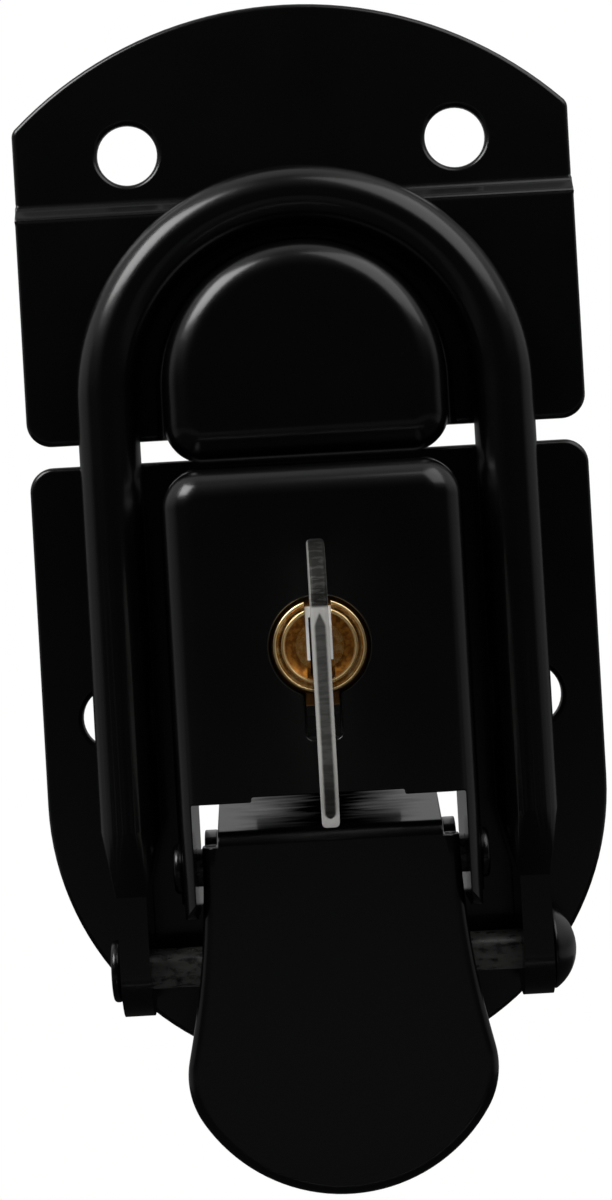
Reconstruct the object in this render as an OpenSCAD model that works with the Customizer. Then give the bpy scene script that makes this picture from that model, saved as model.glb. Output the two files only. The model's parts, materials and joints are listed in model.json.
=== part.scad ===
// Key-locking chest latch: an over-centre draw catch on a base plate, and its keeper on the lid.
// Seen from the front, x is to the right and z is up. The chest wall is the plane y = 0, and the
// latch stands out from it towards -y. The origin is midway between the base plate's screw holes.
// Heights are measured from those holes, and "out" is the distance from the chest wall.

/* [Sheet steel] */
// Thickness of the pressed sheet
sheet_t = 1; // [0.8:0.05:1.2]
// Diameter of the screw holes
screw_d = 5; // [4:0.1:5.5]
// Softened rim round each screw hole
screw_rim = 0.3; // [0.1:0.05:0.45]
// Radius of the plates' square corners
plate_corner_r = 2; // [1:0.25:4]

/* [Base plate] */
// Width of the base plate
base_w = 46.5; // [44:0.5:56]
// Height of its top edge
base_top = 21; // [19:0.5:26]
// Depth of the centre of its round lower end
base_drop = 7.1; // [5:0.1:12]
// Distance between its two screw holes
base_screw_gap = 34.8; // [33:0.1:38]

/* [Lock box] */
// Width of the drawn lock box
box_w = 23.5; // [22:0.5:25]
// How far the front of the box stands out
box_out = 13.5; // [13:0.1:16]
// Step from the top edge of the plate down to the top of the box
box_inset = 1.4; // [1:0.1:3]
// Radius of the rounded edges of the box and of the catch
draw_r = 2.5; // [1.8:0.1:2.8]
// Radius of the flare where the box and the catch meet their plates
flare_r = 1.2; // [0.6:0.1:1.3]
// Radius of the box's corners seen from the front
box_corner_r = 3; // [2.9:0.1:4]
// Depth of the lower edge of the front of the box
face_drop = 6.6; // [5.5:0.1:7.5]
// Width of the shallow notch in that edge
notch_w = 12; // [6:0.5:16]
// Depth of the notch
notch_deep = 0.4; // [0.2:0.05:0.8]
// Depth of the lower end of the two cheeks
cheek_drop = 15.85; // [15:0.05:17]
// Rounding of the cheeks' lower front corners
cheek_r = 3; // [1.5:0.25:4]

/* [Lever] */
// Depth of the lever's pivot
pivot_drop = 12.1; // [11.5:0.1:12.5]
// How far out the pivot is
pivot_out = 7.5; // [7.3:0.1:8]
// Diameter of the pivot pin
pivot_d = 3; // [2.5:0.1:3.4]
// Diameter of the pin's heads
pivot_head_d = 4; // [3.8:0.1:6]
// Thickness of the pin's heads
pivot_head_t = 0.85; // [0.5:0.05:1]
// Depth of the lever's top edge
lever_drop = 8.8; // [8.6:0.1:9.6]
// Length of the lever, from its top edge to its tip
lever_len = 29.2; // [27:0.2:34]
// Width of the lever at its widest
lever_w = 24.5; // [22:0.5:30]
// How much the radius of the lever's tip exceeds half its width
lever_tip_ease = 1.05; // [0.5:0.05:3]
// Radius of the shoulders beside the tip
lever_shoulder_r = 6.5; // [4:0.25:8]
// How far out the lever's face is
lever_out = 12; // [11.8:0.1:13]
// Depth of the rim turned in round the lever
lever_rim = 2.2; // [1.6:0.1:3]
// Gap between the lever and each cheek
lever_gap = 0.6; // [0.4:0.05:1]
// Step from the edge of the lever's face in to its side flanges
flange_set = 0.15; // [0.1:0.05:0.4]
// Radius of metal round the two pin holes in the lever
lever_boss_r = 3; // [2.6:0.1:3.2]
// Outer radius of the bend at the lever's top edge
lip_bend_r = 1.3; // [1.2:0.1:1.8]
// Angle through which the lip is folded in
lip_fold = 73; // [70:1:78]
// How far out the lip's inner end is
lip_end_out = 4.6; // [4.5:0.1:5.5]

/* [Bail] */
// Diameter of the bail's wire
wire_d = 5; // [4:0.1:5.4]
// Gap between the wire and the heads of the pivot pin
bail_gap = 1; // [0.5:0.05:2]
// Depth of the bail's pin
bail_pin_drop = 20.3; // [19.8:0.1:21]
// How far out the bail's pin is
bail_pin_out = 5.6; // [5.2:0.1:6]
// Diameter of the bail's pin
bail_pin_d = 3.2; // [2.6:0.1:3.6]
// Radius of the bail's flattened ends
eye_r = 3.7; // [3.2:0.1:3.8]
// Thickness of the flattened ends
eye_t = 2.4; // [1.8:0.1:3]
// Height above the pin at which the wire starts to flatten
flatten_top = 11.3; // [9:0.1:14]
// Height above the pin at which it is flat
flatten_low = 6.3; // [5:0.1:8]
// Diameter of the pin's domed head
dome_d = 6.9; // [5:0.1:7.2]
// Thickness of the domed head
dome_t = 2; // [1.2:0.1:2.6]
// Diameter of the pin's riveted end
rivet_d = 5; // [4.4:0.1:6]
// Thickness of the riveted end
rivet_t = 0.75; // [0.5:0.05:1.2]

/* [Keeper] */
// How much narrower the keeper is than the base plate
keeper_narrow = 0.2; // [0:0.1:2]
// Gap between the keeper and the base plate
lid_gap = 1.7; // [1:0.1:4]
// Height of the keeper's straight sides
keeper_side = 26.3; // [25:0.1:32]
// Radius of its two upper corners
keeper_corner_r = 1; // [0.5:0.1:3]
// Rise of the arched top over the sides
keeper_rise = 9.4; // [6:0.1:12]
// Height of the step, from the keeper's lower edge
joggle_up = 19.8; // [18:0.1:20.5]
// How far the part below the step stands out
joggle_out = 1; // [0.4:0.1:1.4]
// Distance between the keeper's screw holes
keeper_screw_gap = 27.3; // [24:0.1:32]
// Height of these holes, from the keeper's lower edge
keeper_screw_up = 23.9; // [23.8:0.1:26]
// Height of the centre of the catch's arch, from the keeper's lower edge
catch_up = 3.8; // [3:0.1:5]
// How far out the face of the catch is
catch_out = 8.8; // [7:0.1:10]
// Gap between the catch and the bail's legs
catch_gap = 2.1; // [1:0.1:3]
// How far the bail's arch sits below that of the catch
bail_slack = 0.8; // [0:0.1:1]
// Gap between the catch and the top of the lock box
catch_clear = 0.9; // [0.5:0.1:1.5]
// How far out the catch's lower lip starts
catch_lip_out = 4.5; // [3.2:0.1:5.5]

/* [Lock] */
// Height of the lock's centre
lock_up = 5.3; // [5:0.1:6]
// Diameter of the plug's head
head_d = 7.3; // [7:0.1:7.6]
// Thickness of the plug's head
head_t = 1.05; // [0.8:0.05:1.3]
// Radius of the turned bead round the face of the plug
bead_r = 2.88; // [2.7:0.02:3]
// Width of the two beads of that face
bead_w = 0.28; // [0.2:0.02:0.32]
// Depth of the groove between them
ring_deep = 0.3; // [0.15:0.05:0.4]
// Depth of the dish inside the bead
dish_deep = 0.7; // [0.4:0.05:0.75]
// Radius of the floor of the dish
dish_r = 1.9; // [1.4:0.05:2.1]
// Gap round the plug's head in the front of the box
head_gap = 0.3; // [0.15:0.05:0.5]
// Diameter of the plug
plug_d = 6; // [5.6:0.1:6.4]
// Diameter of the shell round the plug
shell_d = 9; // [8.8:0.1:10]
// Length of the shell inside the box
shell_len = 7.5; // [7.2:0.05:7.6]
// Width of the shell's key fin
fin_w = 2.66; // [2:0.02:3]
// Reach of the fin from the lock's centre
fin_reach = 7.1; // [6:0.1:7.4]
// How far the shell's nose rises into the hole in the box
nose_rise = 0.4; // [0.2:0.05:0.5]
// Reach of the brass lug below the plug's head
lug_len = 1; // [0.6:0.1:1.4]
// Reach of the step in the fin from the lock's centre
fin_step = 5.4; // [5:0.1:5.8]
// Radius of the lower corners of the slot for the fin
slot_corner_r = 0.6; // [0.3:0.05:1]
// Diameter of the plug's tail
tail_d = 3; // [2.6:0.1:3.2]
// Depth of the flats on the tail
tail_cut = 0.4; // [0.2:0.05:0.5]
// Depth of the groove for the clip
groove_deep = 0.5; // [0.3:0.05:0.6]
// Thickness of the strap that holds the shell
strap_t = 0.9; // [0.7:0.05:1]
// Height of the strap
strap_h = 7; // [5:0.25:8]
// Length of the strap's feet on the walls of the box
strap_foot = 4; // [3:0.25:6]
// Width of the sliding bolt
bolt_w = 12; // [11.4:0.2:13]
// Thickness of the sliding bolt
bolt_t = 0.8; // [0.6:0.05:0.9]
// Depth of the bolt's lower end when unlocked
bolt_drop = 3.3; // [3.2:0.1:3.6]
// Thickness of the cam
cam_t = 1.1; // [0.9:0.05:1.2]
// Distance from the lock's centre to the cam's crank pin
crank_r = 4; // [3.6:0.05:4.2]
// Diameter of the crank pin
crank_d = 1.8; // [1.4:0.1:2]
// Thickness of the clip behind the cam
clip_t = 0.6; // [0.4:0.05:0.7]
// Width of the clip's ring
clip_w = 1.5; // [1:0.1:2]
// Width of a wafer
wafer_w = 3.6; // [3.2:0.1:3.8]
// Thickness of a wafer
wafer_t = 0.7; // [0.5:0.05:0.8]
// Distance from one wafer to the next
wafer_pitch = 1.5; // [1.3:0.05:1.6]

/* [Key] */
// Thickness of the key
key_t = 1.25; // [1.2:0.05:1.6]
// Height of the key's blade
blade_h = 4.2; // [3.6:0.1:4.4]
// Width of the keyway in the head of the plug
keyway_w = 2.1; // [1.9:0.1:2.3]
// Thickness of the guide that lines the keyway
guide_t = 0.3; // [0.2:0.05:0.35]
// Height of the guide above the lock's centre
guide_up = 3.1; // [2.8:0.1:3.4]
// Depth of the guide below the lock's centre
guide_drop = 1.1; // [0.6:0.1:1.8]
// Height of the key's bow
bow_h = 20.4; // [16:0.2:24]
// How much lower than the blade the bow sits
bow_drop = 2.2; // [0:0.1:2.4]
// Length of the bow, out from its neck
bow_len = 17; // [13:0.5:22]
// Radius of the bow's corners
bow_r = 5.5; // [4:0.5:7.5]
// Gap between the head of the plug and the key's shoulder
shoulder_gap = 2; // [0.5:0.25:4]
// Length of the neck between shoulder and bow
neck_len = 3.5; // [2:0.5:6]
// How much higher the neck is than the blade
neck_step = 2; // [1:0.25:4]
// Depth of the blade's shallowest notch
notch_least = 0.3; // [0.2:0.05:0.4]
// Step from one depth of notch to the next
notch_step = 0.25; // [0.15:0.05:0.35]
// Size of the chamfer at the blade's tip
tip_chamfer = 1.4; // [0.8:0.1:2]
// Diameter of the hole in the bow
bow_hole_d = 4.5; // [3:0.25:6]

/* [Clearances] */
// Radial clearance of a pin in a turning hole
pin_fit = 0.05; // [0.03:0.01:0.1]
// Radial clearance of a pin in a fixed hole
seat_fit = 0.03; // [0.02:0.01:0.05]
// Gap between flat faces that slide
slide_fit = 0.2; // [0.15:0.01:0.25]
// Gap between the key and what it slides through
key_fit = 0.15; // [0.1:0.01:0.2]
// Gap between the wire and the keeper plate below it
wire_clear = 0.4; // [0.3:0.05:0.8]

/* [Hidden] */
$fn = 72;
paint = "#151617";
steel = "#9a9c9e";
brass = "#b8913c";
nylon = "#e8e8e4";
// Overshoot of a cutting shape past the face that it cuts
cut = 1;
// Depth to which the flare's arc bites into the faces that it joins
flare_bite = 0.04;

// Box and cheeks
box_half = box_w / 2;
box_in = box_half - sheet_t;
box_top = base_top - box_inset;
face_in = box_out - sheet_t;

// Lever
lever_half = box_in - lever_gap;
lever_tip = -lever_drop - lever_len;
lever_tip_r = lever_w / 2 + lever_tip_ease;
lever_mid = lever_tip + lever_tip_r;
shoulder_x = lever_w / 2 - lever_shoulder_r;
shoulder_z = lever_mid - sqrt(pow(lever_tip_r - lever_shoulder_r, 2) - pow(shoulder_x, 2));
bend_z = -lever_drop - lip_bend_r;
bend_out = lever_out - lip_bend_r;
// Waist arc: upright beside the bend, and tangent to the shoulder arc
waist_dx = lever_half - shoulder_x;
waist_dz = bend_z - shoulder_z;
waist_r = (pow(waist_dz, 2) + pow(waist_dx, 2) - pow(lever_shoulder_r, 2))
    / (2 * (lever_shoulder_r - waist_dx));
lip_run = (bend_out + lip_bend_r * cos(lip_fold) - lip_end_out) / sin(lip_fold);
flange_half = lever_half - flange_set;
lip_half = flange_half - sheet_t - flange_set;
lever_web = 0.9 * lever_boss_r;
pivot = [-pivot_drop, pivot_out];

// Bail
leg_x = box_half + pivot_head_t + bail_gap + wire_d / 2;
bail_eye = [-bail_pin_drop, bail_pin_out];

// Keeper
keeper_w = base_w - keeper_narrow;
keeper_low = base_top + lid_gap;
keeper_top = keeper_low + keeper_side + keeper_rise;
keeper_arch_r = (pow(keeper_w / 2, 2) + pow(keeper_rise, 2)) / (2 * keeper_rise);
catch_r = leg_x - wire_d / 2 - catch_gap;
catch_mid = keeper_low + catch_up;
catch_low = box_top + catch_clear;
arch_mid = catch_mid - bail_slack;
// The bail leans in from its pin until the arch lies just over the keeper
arch_out = joggle_out + sheet_t + wire_clear + wire_d / 2;
arch_run = norm([arch_mid + bail_pin_drop, bail_pin_out - arch_out]);
bail_lean = asin((bail_pin_out - arch_out) / arch_run);

// Lock, from the front of the plug to the end of its tail
nose_out = face_in + nose_rise;
head_back = nose_out + pin_fit;
head_front = head_back + head_t;
shell_back = face_in - shell_len;
strap_back = shell_back - strap_t;
bolt_front = strap_back - slide_fit;
bolt_back = bolt_front - bolt_t;
cam_front = bolt_back - slide_fit;
cam_back = cam_front - cam_t;
clip_back = cam_back - clip_t;
tail_end = clip_back - clip_t;
hole_d = head_d + 2 * head_gap;
lug_rise = sheet_t - slide_fit / 2;
tail_flat = tail_d - 2 * tail_cut;
groove_d = tail_d - 2 * groove_deep;
bore_d = plug_d + 2 * pin_fit;
bolt_travel = crank_r * sqrt(2);
crank_rise = crank_r / sqrt(2);
bolt_guide = bolt_w / 2 + slide_fit;

// Wafers, their slots and springs
wafer_count = 4;
wafer_r = plug_d / 2 - pin_fit;
window_h = blade_h + 2 * key_fit;
window_w = key_t + 2 * key_fit;
first_wafer = nose_out - nose_rise - wafer_t;
spring_r = 0.36;
spring_wire = 0.13;
spring_x = wafer_w / 2 + spring_r + 2 * seat_fit;
spring_len = 1.9;
wing_x = spring_x + spring_r;
wing_z = 0.8;
wing_h = 0.5;

// Stands a shape upright that is laid out flat, with y up the chest and z out from it
module upright() {
    rotate([90, 0, 0]) children();
}

// Plate across the latch, of a profile drawn as (height, out)
module across(width) {
    translate([-width / 2, 0, 0]) rotate([90, 0, 90]) linear_extrude(width) children();
}

module both_sides() {
    children();
    mirror([1, 0, 0]) children();
}

// Round bar across the latch at a place given as (height, out)
module cross_bar(place, d, width) {
    translate([0, place.x, place.y]) rotate([0, 90, 0]) cylinder(d = d, h = width, center = true);
}

// Half section of a drawn shell: a wall at reach, a flat front and a round edge between them
module drawn_section(reach, height, edge_r) {
    difference() {
        square([reach, height]);
        translate([reach - edge_r, height - edge_r]) difference() {
            square(2 * edge_r);
            circle(edge_r);
        }
    }
}

// One end of a drawn shell, from y = 0 up to run, with round edges and round corners
module drawn_end(half_w, run, height, edge_r, corner_r) {
    flank = run - corner_r;
    span = half_w - corner_r;
    both_sides() {
        if (flank > 0) translate([0, flank, 0]) rotate([90, 0, 0]) linear_extrude(flank)
            drawn_section(half_w, height, edge_r);
        if (span > 0) translate([0, flank, 0]) rotate([90, 0, 90]) linear_extrude(span)
            drawn_section(corner_r, height, edge_r);
        translate([span, flank, 0]) rotate_extrude(angle = 90) drawn_section(corner_r, height, edge_r);
    }
}

// Section of the flare at the foot of a drawn wall, sunk a little into the wall and the plate
module flare_section(reach) {
    sink = sheet_t / 2;
    centre = flare_r - flare_bite;
    difference() {
        translate([reach - sink, -sink]) square(sink + flare_r);
        translate([reach + centre, centre]) circle(flare_r);
        translate([reach + centre, -sheet_t]) square(2 * flare_r);
        translate([reach - sheet_t, centre]) square(2 * flare_r);
    }
}

// Flare round one end of a drawn shell, down to y = low
module flare_end(half_w, run, corner_r, low) {
    flank = run - corner_r;
    span = half_w - corner_r;
    both_sides() {
        translate([0, flank, 0]) rotate([90, 0, 0]) linear_extrude(flank - low) flare_section(half_w);
        if (span > 0) translate([0, flank, 0]) rotate([90, 0, 90])
            linear_extrude(span) flare_section(corner_r);
        translate([span, flank, 0]) rotate_extrude(angle = 90) flare_section(corner_r);
    }
}

// Sheet outline from low to high, with its two lower corners rounded
module sheet_outline(w, low, high, r) {
    translate([-w / 2, low + r]) square([w, high - low - r]);
    translate([r - w / 2, low]) square([w - 2 * r, 2 * r]);
    both_sides() translate([w / 2 - r, low + r]) circle(r);
}

// Screw hole with a softened rim, in a sheet that lies on the chest
module screw_hole(x, z) {
    translate([x, z, -cut]) cylinder(d = screw_d, h = sheet_t + 2 * cut);
    translate([x, z, sheet_t - screw_rim])
        cylinder(d1 = screw_d, d2 = screw_d + 4 * screw_rim, h = 2 * screw_rim);
}

// Keeper: arched plate, stepped out below the joggle, with the catch drawn out of it
module keeper_outline() {
    arch = keeper_top - keeper_arch_r;
    corner_x = keeper_w / 2 - keeper_corner_r;
    corner_z = arch + sqrt(pow(keeper_arch_r - keeper_corner_r, 2) - pow(corner_x, 2));
    sweep = atan2(corner_z - arch, corner_x);
    steps = 10;
    corner = [for (i = [0 : steps])
        [corner_x, corner_z] + keeper_corner_r * [cos(sweep * i / steps), sin(sweep * i / steps)]];
    intersection() {
        sheet_outline(keeper_w, keeper_low, keeper_top + cut, plate_corner_r);
        translate([0, arch]) circle(keeper_arch_r, $fn = 144);
        both_sides() polygon(concat([[0, keeper_low - cut], [keeper_w / 2, keeper_low - cut]], corner,
            [[corner[steps].x, keeper_top + cut], [0, keeper_top + cut]]));
    }
}

module keeper_side_view() {
    joggle = keeper_low + joggle_up;
    end = keeper_top + cut;
    polygon([
        [keeper_low - cut, joggle_out], [joggle - joggle_out, joggle_out], [joggle, 0], [end, 0],
        [end, sheet_t], [joggle, sheet_t], [joggle - joggle_out, joggle_out + sheet_t],
        [keeper_low - cut, joggle_out + sheet_t]
    ]);
}

module catch_block(inset, height) {
    r = catch_r - inset;
    drawn_end(r, r, height, draw_r - inset, r);
    mirror([0, 1, 0])
        drawn_end(r, catch_mid - catch_low - inset, height, draw_r - inset, box_corner_r - inset);
}

module keeper_plate() {
    color(paint) upright() difference() {
        union() {
            intersection() {
                linear_extrude(catch_out) keeper_outline();
                across(keeper_w + 2 * cut) keeper_side_view();
            }
            translate([0, catch_mid, joggle_out]) catch_block(0, catch_out - joggle_out);
            translate([0, catch_mid, joggle_out + sheet_t]) flare_end(catch_r, catch_r, catch_r, -catch_up);
        }
        translate([0, catch_mid, joggle_out - cut])
            catch_block(sheet_t, catch_out - joggle_out - sheet_t + cut);
        translate([-catch_r - cut, catch_low - cut, 0])
            cube([2 * (catch_r + cut), keeper_low - catch_low + cut, catch_lip_out]);
        for (side = [-1, 1]) screw_hole(side * keeper_screw_gap / 2, keeper_low + keeper_screw_up);
    }
}

// Body: base plate, lock box and cheeks, pressed from one sheet
module base_outline() {
    mirror([0, 1, 0]) sheet_outline(base_w, -base_top, base_drop, plate_corner_r);
    translate([0, -base_drop]) circle(d = base_w, $fn = 144);
}

module box_block(inset, start, height) {
    translate([0, -start, 0])
        drawn_end(box_half - inset, box_top - inset + start, height, draw_r - inset, box_corner_r - inset);
}

// Side view of the box, with the cheeks' lower front corner rounded
module cheek_side_view() {
    translate([cheek_r - cheek_drop, 0]) square([box_top + cheek_drop, box_out + cut]);
    translate([-cheek_drop, 0]) square([2 * cheek_r, box_out - cheek_r]);
    translate([cheek_r - cheek_drop, box_out - cheek_r]) circle(cheek_r);
}

module lock_hole() {
    translate([0, lock_up, face_in - cut]) linear_extrude(sheet_t + 2 * cut) {
        circle(d = hole_d);
        sheet_outline(fin_w + slide_fit, -fin_reach - slide_fit, 0, slot_corner_r);
    }
}

module lock_body() {
    color(paint) upright() difference() {
        union() {
            linear_extrude(sheet_t) base_outline();
            intersection() {
                box_block(0, cheek_drop + cut, box_out);
                across(box_w + 2 * cut) cheek_side_view();
            }
            translate([0, 0, sheet_t]) flare_end(box_half, box_top, box_corner_r, -cheek_drop);
        }
        translate([0, 0, -cut]) box_block(sheet_t, cheek_drop, face_in + cut);
        translate([-box_in, -cheek_drop - cut, face_in / 2])
            cube([2 * box_in, cheek_drop + cut - face_drop, box_out]);
        translate([-notch_w / 2, -face_drop - cut, face_in - cut])
            cube([notch_w, cut + notch_deep, sheet_t + 2 * cut]);
        lock_hole();
        for (side = [-1, 1]) screw_hole(side * base_screw_gap / 2, 0);
        cross_bar(pivot, pivot_d + 2 * seat_fit, box_w + 2 * cut);
    }
}

// Lever outline, grown by a margin: waist, shoulders and round tip, all in arcs
module lever_outline(margin) {
    join_x = shoulder_x * (lever_tip_r + margin) / (lever_tip_r - lever_shoulder_r);
    waist_x = lever_half + waist_r;
    waist_ease = (lever_shoulder_r + margin) / (lever_shoulder_r + waist_r);
    neck_x = shoulder_x + (waist_x - shoulder_x) * waist_ease;
    neck_z = shoulder_z + (bend_z - shoulder_z) * waist_ease;
    difference() {
        translate([-neck_x, shoulder_z]) square([2 * neck_x, bend_z - shoulder_z]);
        both_sides() translate([waist_x, bend_z]) circle(waist_r - margin, $fn = 360);
    }
    both_sides() translate([shoulder_x, shoulder_z]) circle(lever_shoulder_r + margin);
    intersection() {
        translate([0, lever_mid]) circle(lever_tip_r + margin, $fn = 144);
        translate([-join_x, lever_tip - cut]) square([2 * join_x, neck_z - lever_tip + cut]);
    }
}

// Side flange of the lever, round both pins and up to the face
module lever_side_view() {
    run = bail_eye - pivot;
    for (place = [pivot, bail_eye]) translate(place) circle(lever_boss_r);
    translate(pivot) rotate(atan2(run.y, run.x)) translate([0, -lever_web])
        square([norm(run), 2 * lever_web]);
    polygon([
        [bend_z, lever_out - sheet_t / 2], [bend_z, pivot.y], pivot, bail_eye,
        [bail_eye.x - lever_boss_r, bail_eye.y],
        [bail_eye.x - lever_boss_r - lever_rim, lever_out - sheet_t / 2]
    ]);
}

// Lip: the lever's top edge, bent inwards and a little upwards
function bend_line(r, turns) = [for (a = turns) r * [sin(a), cos(a)]];

module lip_side_view() {
    steps = 16;
    inner_r = lip_bend_r - sheet_t;
    run = lip_run * [cos(lip_fold), -sin(lip_fold)];
    outside = bend_line(lip_bend_r, [for (i = [0 : steps]) lip_fold * i / steps]);
    inside = bend_line(inner_r, [for (i = [steps : -1 : 0]) lip_fold * i / steps]);
    translate([bend_z, bend_out]) polygon(concat(
        [[-sheet_t, lip_bend_r]], outside, [outside[steps] + run, inside[0] + run],
        inside, [[-sheet_t, inner_r]]
    ));
}

module lever() {
    color(paint) upright() difference() {
        union() {
            translate([0, 0, lever_out - sheet_t]) linear_extrude(sheet_t) lever_outline(0);
            translate([0, 0, lever_out - lever_rim]) linear_extrude(lever_rim) difference() {
                lever_outline(0);
                lever_outline(-sheet_t);
            }
            both_sides() translate([flange_half - sheet_t / 2, 0, 0]) across(sheet_t) lever_side_view();
            across(2 * lip_half) lip_side_view();
        }
        cross_bar(pivot, pivot_d + 2 * pin_fit, lever_w);
        cross_bar(bail_eye, bail_pin_d + 2 * pin_fit, lever_w);
    }
}

module lever_pin() {
    width = 2 * (box_half + seat_fit);
    color(paint) upright() {
        cross_bar(pivot, pivot_d, width + pivot_head_t);
        both_sides() translate([(width + pivot_head_t) / 2, 0, 0])
            cross_bar(pivot, pivot_head_d, pivot_head_t);
    }
}

// Bail: wire arch with two legs, each flattened into an eye, laid out from its pin and then leant in
module bail() {
    thin = 0.02;
    color(paint) upright() translate([0, bail_eye.x, bail_eye.y]) rotate([-bail_lean, 0, 0]) difference() {
        union() {
            translate([0, arch_run, 0]) rotate_extrude(angle = 180) translate([leg_x, 0]) circle(d = wire_d);
            both_sides() translate([leg_x, 0, 0]) {
                translate([0, flatten_top, 0]) rotate([-90, 0, 0])
                    cylinder(d = wire_d, h = arch_run - flatten_top);
                hull() {
                    translate([0, flatten_top, 0]) rotate([-90, 0, 0])
                        cylinder(d = wire_d, h = thin, $fn = 32);
                    translate([-eye_t / 2, flatten_low - thin, -eye_r]) cube([eye_t, thin, 2 * eye_r]);
                }
                across(eye_t) {
                    circle(eye_r);
                    translate([0, -eye_r]) square([flatten_low, 2 * eye_r]);
                }
            }
        }
        cross_bar([0, 0], bail_pin_d + 2 * pin_fit, 2 * (leg_x + wire_d));
    }
}

// Pin of the bail: a rivet through the lever and both eyes, with a domed head and a riveted end
module bail_pin() {
    grip = leg_x + eye_t / 2 + slide_fit / 2;
    dome_r = (pow(dome_d / 2, 2) + pow(dome_t, 2)) / (2 * dome_t);
    color(paint) upright() {
        cross_bar(bail_eye, bail_pin_d, 2 * grip + rivet_t);
        translate([-grip - rivet_t / 2, 0, 0]) cross_bar(bail_eye, rivet_d, rivet_t);
        translate([grip, bail_eye.x, bail_eye.y]) rotate([0, 90, 0]) rotate_extrude() intersection() {
            translate([0, dome_t - dome_r]) circle(dome_r);
            square([dome_d, 2 * dome_t]);
        }
    }
}

// Shell of the lock: round body behind the front of the box, with a nose and a key fin through it
module lock_shell() {
    lug_reach = head_d / 2 + lug_len;
    groove_w = wafer_w + 2 * key_fit;
    color(brass) upright() translate([0, lock_up, 0]) difference() {
        union() {
            translate([0, 0, shell_back]) cylinder(d = shell_d, h = shell_len);
            translate([0, 0, face_in - cut]) cylinder(d = hole_d - 2 * key_fit, h = nose_out - face_in + cut);
            translate([-fin_w / 2, -fin_reach, shell_back]) cube([fin_w, fin_reach, shell_len - slide_fit]);
            translate([-fin_w / 2, -fin_step, face_in - cut]) cube([fin_w, fin_step, cut + nose_rise]);
            translate([-fin_w / 2, -lug_reach, face_in]) cube([fin_w, lug_reach, lug_rise]);
        }
        translate([0, 0, shell_back - cut]) cylinder(d = bore_d, h = shell_len + 2 * cut);
        translate([0, 0, nose_out]) cylinder(d = head_d + 2 * pin_fit, h = head_t);
        translate([-groove_w / 2, -plug_d / 2 - wafer_t, shell_back - cut])
            cube([groove_w, plug_d + 2 * wafer_t, cut + shell_len - sheet_t]);
    }
}

// Strap: folded steel bridge behind the shell, welded to the walls, with two guides for the bolt
module lock_strap() {
    color(steel) upright() translate([0, lock_up, 0]) difference() {
        union() {
            translate([-box_in, -strap_h / 2, strap_back]) cube([2 * box_in, strap_h, strap_t]);
            both_sides() {
                translate([box_in - strap_t, -strap_h / 2, strap_back]) cube([strap_t, strap_h, strap_foot]);
                translate([bolt_guide, -strap_h / 2, bolt_back])
                    cube([strap_t, strap_h, strap_back - bolt_back]);
            }
        }
        translate([0, 0, strap_back - cut]) cylinder(d = tail_d + 2 * slide_fit, h = strap_t + 2 * cut);
    }
}

// Flats that let the tail drive the cam
module tail_section(margin) {
    intersection() {
        circle(d = tail_d + 2 * margin);
        square([2 * tail_d, tail_flat + 2 * margin], center = true);
    }
}

// Half section of the plug's head: a rim, a groove, a bead and a dish
module plug_face() {
    groove = head_t - ring_deep;
    translate([0, head_back]) {
        polygon([
            [0, 0], [head_d / 2, 0], [head_d / 2, groove], [bead_r - bead_w / 2, groove],
            [dish_r, head_t - dish_deep], [0, head_t - dish_deep]
        ]);
        for (bead = [bead_r, head_d / 2 - bead_w / 2]) {
            translate([bead - bead_w / 2, groove - bead_w / 2]) square([bead_w, ring_deep]);
            translate([bead, head_t - bead_w / 2]) circle(d = bead_w);
        }
    }
}

// Guide: thin fork that lines the keyway on both sides of the blade and above it
module key_guide() {
    side = keyway_w / 2 - seat_fit;
    color(nylon) upright() translate([0, lock_up, head_back + seat_fit]) linear_extrude(guide_t)
        difference() {
            translate([-side, -guide_drop]) square([2 * side, guide_drop + guide_up]);
            translate([-window_w / 2, -guide_drop - cut]) square([window_w, guide_drop + cut + window_h / 2]);
        }
}

// Plug: turned head with rings, slotted barrel and a tail with flats
module lock_plug() {
    color(brass) upright() translate([0, lock_up, 0]) difference() {
        union() {
            rotate_extrude() plug_face();
            translate([0, 0, shell_back])
                cylinder(d = plug_d, h = head_back - shell_back + (head_t - dish_deep) / 2);
            translate([0, 0, cam_front]) cylinder(d = tail_d, h = shell_back - cam_front + cut);
            translate([0, 0, tail_end]) linear_extrude(cam_front - tail_end + cut) tail_section(0);
        }
        translate([-window_w / 2, -window_h / 2, shell_back + sheet_t])
            cube([window_w, window_h, head_front - shell_back]);
        translate([-keyway_w / 2, -window_h / 2 - 2 * key_fit, head_back])
            cube([keyway_w, head_d, head_t + cut]);
        for (i = [1 : wafer_count]) wafer_slot(i);
        clip_groove();
    }
}

module clip_groove() {
    translate([0, 0, clip_back - seat_fit]) linear_extrude(clip_t + seat_fit) difference() {
        circle(d = 2 * tail_d);
        circle(d = groove_d);
    }
}

// Back face of a wafer, counted from the front
function wafer_out(i) = first_wafer - i * wafer_pitch + wafer_pitch - wafer_t;

module wafer_slot(i) {
    gap = seat_fit;
    translate([0, 0, wafer_out(i) - gap]) linear_extrude(wafer_t + 2 * gap) {
        square([wafer_w + 2 * gap, 2 * plug_d], center = true);
        translate([0, wing_z - spring_len - gap]) square([wing_x + 3 * gap, spring_len + 2 * wing_h]);
    }
}

// Wafer: brass plate with a window for the key and a wing for its spring
module wafer(i) {
    color(brass) upright() translate([0, lock_up, wafer_out(i)]) linear_extrude(wafer_t) difference() {
        union() {
            intersection() {
                circle(wafer_r);
                square([wafer_w, plug_d], center = true);
            }
            translate([0, wing_z]) square([wing_x, wing_h]);
        }
        square([window_w, window_h], center = true);
    }
}

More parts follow.
